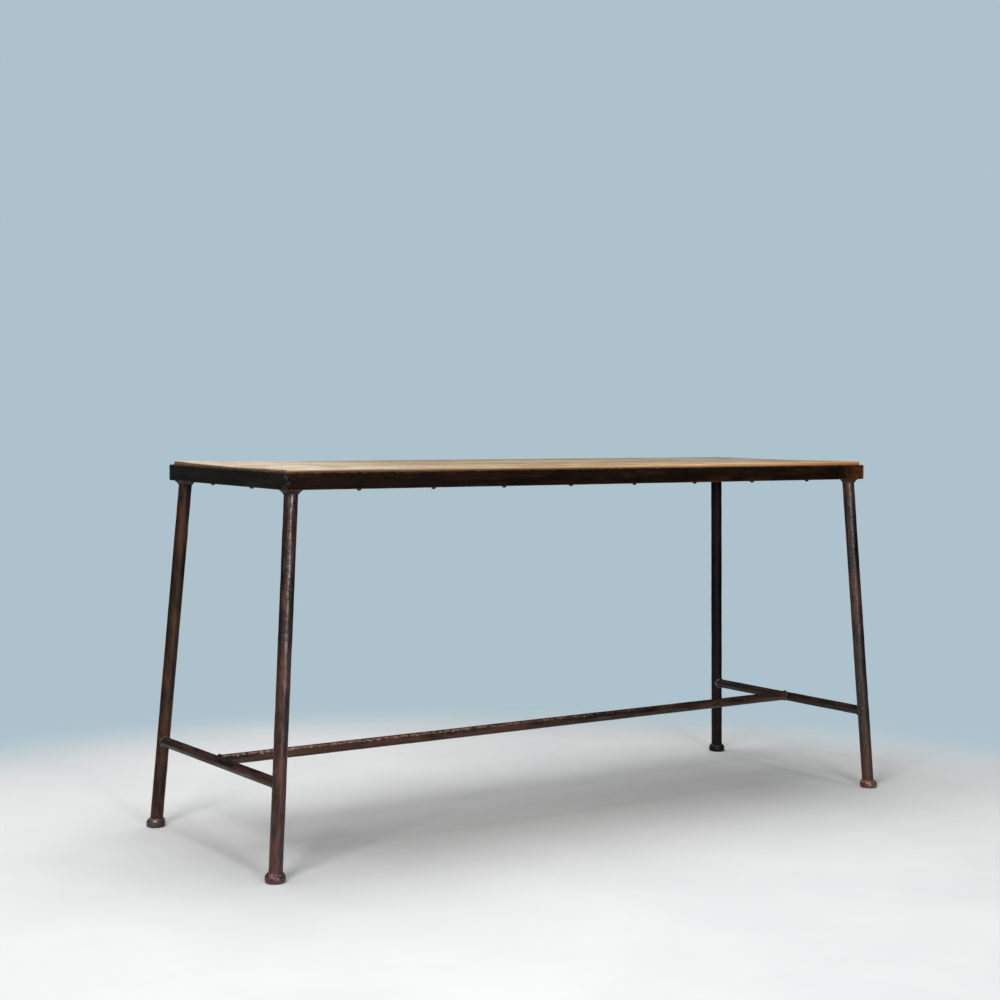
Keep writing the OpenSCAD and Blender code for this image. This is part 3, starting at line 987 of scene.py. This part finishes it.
# %% [markdown]
# ## Feet
# Each leg stands in a small domed iron cap, widest low down and tucked in at the floor. A
# turned part is a half section spun about an axis. The section goes up over the shoulder
# and down again inside the socket, and the socket is then leaned to take the pipe. Cast
# and hammered surfaces are lumpy, so the skin is pushed in and out by noise, and a few
# beads of weld sit where the pipe goes in.

# %% Foot shapes
foot_lo, foot_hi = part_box("foot_front_left")
FOOT_H = foot_hi[2]
FOOT_R = (foot_hi[0] - foot_lo[0]) / 2
FOOT_STEPS = 72


def foot_section():
    points = [(0.0, 0.0), (6, 0.0), (12, 0.0), (16.5, 0.0)]
    points += [(16.9 + 3.0 * math.sin(math.radians(a)), 3.6 - 3.6 * math.cos(math.radians(a)))
               for a in (25, 45, 65, 85)]
    points += [(FOOT_R / MM - 0.1 + 0.1 * math.cos(k), 3.6 + k * 1.2) for k in (1, 2)]
    reach = FOOT_R / MM - 14.0
    points += [(14.0 + reach * math.cos(math.radians(a)),
                7.0 + (FOOT_H / MM - 7.2) * math.sin(math.radians(a)))
               for a in (12, 24, 36, 48, 60, 72, 84)]
    points += [(13.75, FOOT_H / MM - 0.3), (13.6, 14.0), (13.6, 9.0), (13.6, 5.2), (9.0, 5.0),
               (4.0, 5.0), (0.0, 5.0)]
    return [(r * MM, z * MM) for r, z in points]


def make_foot(corner, number):
    line = LEGS[corner]
    lean = Vector((line.way.x / line.way.z, line.way.y / line.way.z, 0))
    shape = bmesh.new()
    edge = weights(shape, "edge")
    points = [shape.verts.new((r, 0, z)) for r, z in foot_section()]
    lines = [shape.edges.new(pair) for pair in zip(points, points[1:])]
    spin_round(shape, points + lines, FOOT_STEPS)
    bmesh.ops.remove_doubles(shape, verts=shape.verts, dist=1e-6)
    for vert in shape.verts:
        x, y, z = vert.co
        out = math.hypot(x, y)
        facing = Vector((x, y, 0)).normalized() if out > 1e-6 else Vector((0, 0, 0))
        lump = noise(Vector((x * 120, y * 120, z * 120 + number * 9)))
        lump += 0.5 * noise(Vector((x * 300, y * 300, z * 300 + number * 9)))
        free = smooth(z / (3 * MM)) * smooth((out - 13.5 * MM) / (1.5 * MM))
        swell = (0.45 * lump - 0.5) * MM * free
        vert[edge] = 0.55 * free * smooth((z - 6 * MM) / (9 * MM)) + 0.1
        socket = 1.0 if out < 14.2 * MM and z > 4 * MM else 0.0
        shift = lean * z * (socket if socket else smooth((z - 10 * MM) / (FOOT_H - 10 * MM)))
        vert.co = line.floor + Vector((x, y, z)) + facing * swell + shift
    pick = random.Random(300 + number)
    for _ in range(9):
        angle = pick.uniform(0, math.tau)
        size = pick.uniform(0.8, 1.7) * MM
        height = FOOT_H - pick.uniform(0.2, 1.2) * MM
        spot = line.round_point(height, angle, LEG_R + 0.3 * size)
        add_drop(shape, edge, spot, size, 0.8, subdivisions=2)
    return shape


for number, corner in enumerate(LEG_SIDES):
    make_piece(make_foot(corner, number), "foot_" + corner, foot_irons[corner])

# %% [markdown]
# ## Stretchers
# The end stretchers run between a front and a rear leg, and the long one runs between
# them, so the three make an H. Each end is coped: every line along the pipe is carried on
# until it meets the round of the other pipe, and stops a hair inside it. A broken pale line
# runs along the upper front of the long one, more of it at the left: shoe wear, and a
# painted highlight.

# %% Stretcher shapes
SINK = 0.4 * MM
END_STOP = 4.0 * MM
END_RINGS = 60
LONG_RINGS = 190
PIPE_AXES = {name: sum(box_of("stretcher_" + name), Vector()) / 2
             for name in ("left", "right", "long")}


def uneven_radius(angle, run, phase):
    facing = Vector((math.cos(angle), math.sin(angle), 0))
    wave = noise(Vector((facing.x, facing.y, run * 10 + phase))) * 0.3
    dents = noise(Vector((facing.x * 3, facing.y * 3, run * 50 + phase))) * 0.2
    return STR_R + (wave + dents) * MM


def make_end_stretcher(side):
    middle = PIPE_AXES[side]
    front, rear = LEGS["front_" + side], LEGS["rear_" + side]

    def send(share, angle, inner):
        radius = STR_BORE if inner else STR_R
        x = middle.x + radius * math.cos(angle)
        z = middle.z + radius * math.sin(angle)
        start = front.meets(x, z, LEG_R - SINK)[1]
        stop = rear.meets(x, z, LEG_R - SINK)[0]
        y = start + (stop - start) * share
        if not inner:
            held = smooth(share / 0.06) * smooth((1 - share) / 0.06)
            out = (uneven_radius(angle, y, middle.x) - STR_R) * held
            x += out * math.cos(angle)
            z += out * math.sin(angle)
        return Vector((x, y, z)), 0.12 + 0.2 * max(0.0, math.sin(angle))

    return make_pipe(send, rings=END_RINGS, segments=40)


def long_end(side, z):
    other = PIPE_AXES[side]
    rise = z - other.z
    depth = math.sqrt(max((STR_R - SINK) ** 2 - rise ** 2, END_STOP ** 2))
    return other.x - math.copysign(depth, other.x)


def make_long_stretcher():
    middle = PIPE_AXES["long"]

    def send(share, angle, inner):
        radius = STR_BORE if inner else STR_R
        y = middle.y + radius * math.cos(angle)
        z = middle.z + radius * math.sin(angle)
        start, stop = long_end("left", z), long_end("right", z)
        x = start + (stop - start) * share
        if not inner:
            held = smooth(share / 0.03) * smooth((1 - share) / 0.03)
            out = (uneven_radius(angle, x, 4.0) - STR_R) * held
            y += out * math.cos(angle)
            z += out * math.sin(angle)
        # The upper front of the long stretcher, more at the left, is painted pale: partly shoe wear,
        # partly a painted highlight.
        shoe_and_sheen_side = max(0.0, 0.82 * math.sin(angle) - 0.57 * math.cos(angle)) ** 4
        rubbed_and_sheen = (0.65 + 0.35 * smooth(0.6 - x)) * shoe_and_sheen_side
        return Vector((x, y, z)), 0.1 + 0.64 * rubbed_and_sheen

    return make_pipe(send, rings=LONG_RINGS, segments=40)


for side in ("left", "right"):
    make_piece(make_end_stretcher(side), "stretcher_" + side,
               stretcher_iron[side])
make_piece(make_long_stretcher(), "stretcher_long", stretcher_iron["long"])

# %% [markdown]
# ## Screws
# Round-head screws hold the boards from below, through the level leg of the bar. A head is
# the cap of a ball, trimmed flat where it meets the iron. The slot is made as a file would
# make it: two cuts mark a strip across the head, and the strip is pushed in. No two slots
# point the same way.

# %% Screw shapes
HEAD_R = 4.9 * MM
HEAD_H = 4.4 * MM
SHANK_R = 2.3 * MM
SLOT_W = 1.3 * MM
SLOT_DEEP = 1.7 * MM
BITE = 26.0 * MM
PITCH = 0.17


def add_screw(shape, x, y, turn):
    head = bmesh.new()
    head_edge = weights(head, "edge")
    ball = (HEAD_R ** 2 + HEAD_H ** 2) / (2 * HEAD_H)
    bmesh.ops.create_uvsphere(head, u_segments=28, v_segments=20, radius=ball,
                              matrix=Matrix.Translation((0, 0, ball - HEAD_H)))
    for spot, facing, clear in (((0, 0, 0), (0, 0, 1), True),
                                ((0, SLOT_W / 2, 0), (0, 1, 0), False),
                                ((0, -SLOT_W / 2, 0), (0, 1, 0), False)):
        cut_through(head, spot, facing, clear)
    strip = [f for f in head.faces if abs(f.calc_center_median().y) < SLOT_W / 2
             and f.calc_center_median().z < -0.01 * MM]
    pull(head, strip, (0, 0, SLOT_DEEP))
    bmesh.ops.delete(head, geom=[f for f in strip if f.is_valid], context="FACES")
    for vert in head.verts:
        vert[head_edge] = 0.9 if vert.co.z < -HEAD_H * 0.6 else 0.35
    bmesh.ops.create_cone(head, cap_ends=True, segments=16, radius1=SHANK_R,
                          radius2=SHANK_R * 0.35, depth=BITE,
                          matrix=Matrix.Translation((0, 0, BITE / 2 + 0.1 * MM)))
    put = Matrix.Translation((x, y, UNDER_Z)) @ Matrix.Rotation(turn, 4, "Z")
    bmesh.ops.transform(head, matrix=put, verts=head.verts)
    carrier = bpy.data.meshes.new("screw_copy")
    head.to_mesh(carrier)
    head.free()
    shape.from_mesh(carrier)
    bpy.data.meshes.remove(carrier)


SCREW_ROWS = {"front": (8, 0, -FACE_Y + BAR_LEG / 2), "rear": (8, 0, FACE_Y - BAR_LEG / 2),
              "left": (2, 1, -END_X + BAR_LEG / 2), "right": (2, 1, END_X - BAR_LEG / 2)}
turns = random.Random(17)
for side, (count, along, line) in SCREW_ROWS.items():
    shape = bmesh.new()
    for k in range(count):
        run = (k - (count - 1) / 2) * PITCH
        x, y = (line, run) if along else (run, line)
        add_screw(shape, x, y, turns.uniform(0, math.pi))
    make_piece(shape, "screws_" + side, screw_iron)

# %% [markdown]
# ## Welds
# Three kinds of weld hold the iron together. Round each leg top is a wide flared fillet,
# laid in two passes. Down each mitred corner runs a rough bead with spatter beside it.
# Round each coped stretcher end goes a thinner bead. A bead is a row of small overlapping
# puddles, so its thickness swells and pinches along its length at about 3 mm a puddle.

# %% A bead of weld
PUDDLE = 3.0 * MM


def add_bead(shape, edge, path, radius, closed, seed, segments=10, bright=0.35):
    """A round bead along a path, as rings joined one to the next."""
    travel = 0.0
    loops = []
    count = len(path)
    for k, point in enumerate(path):
        before = path[k - 1] if closed or k else point
        after = path[(k + 1) % count] if closed or k < count - 1 else point
        along = (after - before).normalized()
        travel += (point - path[k - 1]).length if k else 0.0
        swell = 1 + 0.16 * math.sin(math.tau * travel / PUDDLE)
        swell += 0.22 * noise(Vector((travel * 160, seed, 0.5)))
        if not closed and k in (0, count - 1):
            swell *= 0.45
        turn = Vector((0, 0, 1)).rotation_difference(along).to_matrix().to_4x4()
        made = bmesh.ops.create_circle(shape, cap_ends=False, segments=segments,
                                       radius=radius * swell,
                                       matrix=Matrix.Translation(point) @ turn)
        for vert in made["verts"]:
            vert[edge] = 0.2 + bright * max(0.0, math.sin(math.tau * travel / PUDDLE))
        loops.append(list({e for v in made["verts"] for e in v.link_edges}))
    pairs = list(zip(loops, loops[1:])) + ([(loops[-1], loops[0])] if closed else [])
    for one, other in pairs:
        bmesh.ops.bridge_loops(shape, edges=one + other)
    if not closed:
        for loop in (loops[0], loops[-1]):
            bmesh.ops.holes_fill(shape, edges=loop)


print("a puddle of weld is", round(PUDDLE / MM, 1), "mm long")

# %% Flared welds at the leg tops
FLARE = 9.0 * MM
FLARE_H = 8.2 * MM
FLARE_STEPS = 96


def flare_width(line, angle):
    """How wide the fillet can spread before the open inner corner of the rim."""
    inward_x = -line.side[0] * math.cos(angle)
    inward_y = -line.side[1] * math.sin(angle)
    if inward_x <= 0 or inward_y <= 0:
        return FLARE
    room = (BAR_LEG - LEG_INSET) / min(inward_x, inward_y) - LEG_R
    return min(max(room, 0.25 * MM), FLARE)


def make_leg_weld(corner, number):
    line = LEGS[corner]
    shape = bmesh.new()
    edge = weights(shape, "edge")
    section = [(-0.1, -1.0), (0.05, -1.04), (0.14, -0.93), (0.26, -0.74), (0.4, -0.58),
               (0.52, -0.46), (0.68, -0.33), (0.84, -0.2), (0.97, -0.09), (1.0, 0.0),
               (0.5, 0.02), (-0.1, 0.02)]
    points = [shape.verts.new((LEG_R + u * FLARE, 0, v * FLARE_H)) for u, v in section]
    loop = [shape.edges.new((points[k - 1], points[k])) for k in range(len(points))]
    spin_round(shape, points + loop, FLARE_STEPS)
    for vert in shape.verts:
        x, y, z = vert.co
        angle = math.atan2(y, x)
        share = (math.hypot(x, y) - LEG_R) / FLARE
        depth = -z / FLARE_H
        ripple = math.sin(angle * 24 + number) * (0.05 if depth < 0.5 else -0.05)
        ripple += 0.12 * noise(Vector((math.cos(angle) * 5, math.sin(angle) * 5,
                                       depth * 5 + number * 8)))
        swell = ripple * smooth(depth * 6) * smooth((share + 0.05) * 8)
        spread = max(share, -0.05) * flare_width(line, angle) / FLARE
        out = LEG_R + (spread + swell * flare_width(line, angle) / FLARE) * FLARE
        height = UNDER_Z + z * (1 + 0.06 * math.sin(angle * 7 + number * 2))
        axis_at = line.at_height(height)
        vert[edge] = 0.25 + 2.2 * max(0.0, ripple) + 0.3 * math.exp(-abs(depth - 1) * 6)
        vert.co = Vector((axis_at.x + out * math.cos(angle), axis_at.y + out * math.sin(angle),
                          height))
    return shape


for number, corner in enumerate(LEG_SIDES):
    make_piece(make_leg_weld(corner, number), "weld_leg_" + corner, weld_metal,
               crease=60)

# %% [markdown]
# ## Beads and spatter
# A bead down a corner is a path that sways as a hand does, with a row of puddles along
# it. Molten drops fly off and stick nearby, so small balls lie beside the corners and on
# the legs next to each stretcher bead. They are thickest at the front left corner. One
# seeded source of chance places them all, so the table comes out the same each time.

# %% Corner beads and spatter
CORNER_BEAD_R = 1.6 * MM
BEAD_STEPS = 22
shape = bmesh.new()
edge = weights(shape, "edge")
pick = random.Random(5)
for number, (corner, (sx, sy)) in enumerate(LEG_SIDES.items()):
    ragged = 0.5 if corner == "front_left" else 0.2
    path = []
    for k in range(BEAD_STEPS + 1):
        z = UNDER_Z + 0.6 * MM + (BAR_LEG - 1.6 * MM) * k / BEAD_STEPS
        sway_x = noise(Vector((z * 110, number, 0.0))) * ragged * MM
        sway_y = noise(Vector((z * 110, number, 9.0))) * ragged * MM
        path.append(Vector((sx * (END_X - 0.45 * MM) + sway_x,
                            sy * (FACE_Y - 0.45 * MM) + sway_y, z)))
    add_bead(shape, edge, path, CORNER_BEAD_R, False, number)
    for _ in range(26 if corner == "front_left" else 9):
        size = pick.uniform(0.35, 0.95) * MM
        away = abs(pick.gauss(0, 7)) * MM + 1.5 * MM
        z = UNDER_Z + pick.uniform(1, 26) * MM
        on_front = pick.random() < 0.5
        x = sx * (END_X - away) if on_front else sx * END_X
        y = sy * FACE_Y if on_front else sy * (FACE_Y - away)
        bright = pick.uniform(0.65, 1.0) if corner == "front_left" else 0.3
        add_drop(shape, edge, (x, y, z), size, bright)
make_piece(shape, "welds_rim_corners", weld_metal, crease=70)

# %% Stretcher beads
BEAD_R = 2.0 * MM
TURNS = 96
shape = bmesh.new()
edge = weights(shape, "edge")
for number, side in enumerate(("left", "right")):
    middle = PIPE_AXES[side]
    for row, (end, crossing) in enumerate((("front_", 1), ("rear_", 0))):
        line = LEGS[end + side]
        path = []
        for k in range(TURNS):
            angle = math.tau * k / TURNS
            x = middle.x + (STR_R + 0.4 * MM) * math.cos(angle)
            z = middle.z + (STR_R + 0.4 * MM) * math.sin(angle)
            path.append(Vector((x, line.meets(x, z, LEG_R + 0.5 * MM)[crossing], z)))
        # The rear beads get a brighter edge weight: painted glints.
        add_bead(shape, edge, path, BEAD_R, True, number * 4 + row, bright=0.35 + 0.45 * row)
        for _ in range(9):
            size = pick.uniform(0.4, 0.9) * MM
            height = middle.z + pick.uniform(-18, 20) * MM
            spot = line.round_point(height, pick.uniform(0, math.tau), LEG_R)
            add_drop(shape, edge, spot, size, 1.0)
    axis = PIPE_AXES["long"]
    path = []
    for k in range(TURNS):
        angle = math.tau * k / TURNS
        y = axis.y + (STR_R + 0.2 * MM) * math.cos(angle)
        z = axis.z + (STR_R + 0.2 * MM) * math.sin(angle)
        rise = min(abs(z - middle.z), STR_R * 0.93)
        reach = math.sqrt((STR_R + 0.3 * MM) ** 2 - rise ** 2)
        path.append(Vector((middle.x - math.copysign(reach, middle.x), y, z)))
    # The bead at the right end of the long stretcher is brighter: a painted glint.
    add_bead(shape, edge, path, BEAD_R * 0.9, True, number * 4 + 2, bright=0.35 + 0.5 * number)
make_piece(shape, "welds_stretchers", weld_metal, crease=70)

# %% [markdown]
# ## Floor and light
# The table stands on a plain pale floor that fades into a plain cool backdrop, so no wall
# stands in the way of a view from behind. From below the floor can be seen through. The
# key light is a soft box high on the left. A smaller one stands low in front and draws the
# bright line down each pipe, and a wide one hangs over the top. The backdrop is bright to
# the eye but lights the iron only a little, and shows in its reflections even less, which
# keeps the pipes' edges dark.

# %% Studio floor
BACKDROP = tint(173, 194, 204)
FLOOR_MIDDLE = (-0.34, -0.49, 0.0)
FLOOR_R = 2.1
FADE_FROM = 1.35
FADE_TO = 2.05
floor_material, tree, floor_shader, where = new_material("studio_floor")
mottle = speckle(tree, where, 1.6, 5.0, 0.6)
floor_tone = mixed(tree, fade(tree, mottle, 0.3, 0.7), tint(214, 214, 214), tint(222, 222, 221))
tree.links.new(floor_tone, floor_shader.inputs["Base Color"])
floor_shader.inputs["Roughness"].default_value = 0.85
floor_shader.inputs["Specular IOR Level"].default_value = 0.2
clear = add(tree, "ShaderNodeBsdfTransparent")
flat_way = vectors(tree, "DISTANCE", where, FLOOR_MIDDLE)
from_below = add(tree, "ShaderNodeNewGeometry").outputs["Backfacing"]
see_through = calc(tree, "MAXIMUM", fade(tree, flat_way, FADE_FROM, FADE_TO), from_below)
fading = add(tree, "ShaderNodeMixShader", {0: see_through,
                                           1: floor_shader.outputs[0], 2: clear.outputs[0]})
sink = [n for n in tree.nodes if n.bl_idname == "ShaderNodeOutputMaterial"][0]
tree.links.new(fading.outputs[0], sink.inputs[0])
shape = bmesh.new()
bmesh.ops.create_circle(shape, cap_ends=True, segments=96, radius=FLOOR_R,
                        matrix=Matrix.Translation(FLOOR_MIDDLE))
mesh = bpy.data.meshes.new("studio_floor_mesh")
shape.to_mesh(mesh)
shape.free()
mesh.materials.append(floor_material)
floor = bpy.data.objects.new("studio_floor", mesh)
bpy.context.scene.collection.objects.link(floor)
print("floor:", FLOOR_R, "m in radius, fading out from", FADE_FROM, "to", FADE_TO)

# %% Backdrop and lights
world = bpy.data.worlds.new("studio")
world.use_nodes = True
bpy.context.scene.world = world
sky = world.node_tree
sky.nodes.clear()
seen = add(sky, "ShaderNodeBackground", {"Color": BACKDROP, "Strength": 1.0})
rays = add(sky, "ShaderNodeLightPath").outputs
FILL = 0.15
FILL_IN_GLOSS = 0.045
fill = fade(sky, rays["Is Glossy Ray"], 0.0, 1.0, FILL, FILL_IN_GLOSS)
felt = add(sky, "ShaderNodeBackground", {"Color": tint(190, 202, 210), "Strength": fill})
both = add(sky, "ShaderNodeMixShader",
           {0: rays["Is Camera Ray"], 1: felt.outputs[0], 2: seen.outputs[0]})
add(sky, "ShaderNodeOutputWorld", {"Surface": both.outputs[0]})


def soft_box(name, place_at, look_at, size, watts, colour):
    light = bpy.data.lights.new(name, "AREA")
    light.shape = "SQUARE"
    light.size = size
    light.energy = watts
    light.color = colour
    lamp = bpy.data.objects.new(name, light)
    facing = (Vector(look_at) - Vector(place_at)).to_track_quat("-Z", "Y")
    lamp.matrix_world = Matrix.Translation(place_at) @ facing.to_matrix().to_4x4()
    bpy.context.scene.collection.objects.link(lamp)
    print("light:", name, watts, "W,", size, "m across")


soft_box("key", (-3.8, -2.6, 2.9), (0, 0, 0.35), 1.5, 136, (1.0, 0.985, 0.96))
soft_box("strip", (-1.1, -4.4, 1.2), (-0.1, 0, 0.5), 0.8, 84, (0.97, 0.98, 1.0))
soft_box("top", (-0.2, 0.2, 3.4), (0, 0, 0.3), 2.6, 112, (0.98, 0.99, 1.0))
bpy.context.scene.view_settings.view_transform = "Standard"

# %% [markdown]
# ## Triangles
# The last line adds up the triangles of all the pieces. The finished pieces must stay
# inside the exact model's box.

# %% Triangles
print("triangles in all:", sum(TRIS.values()))
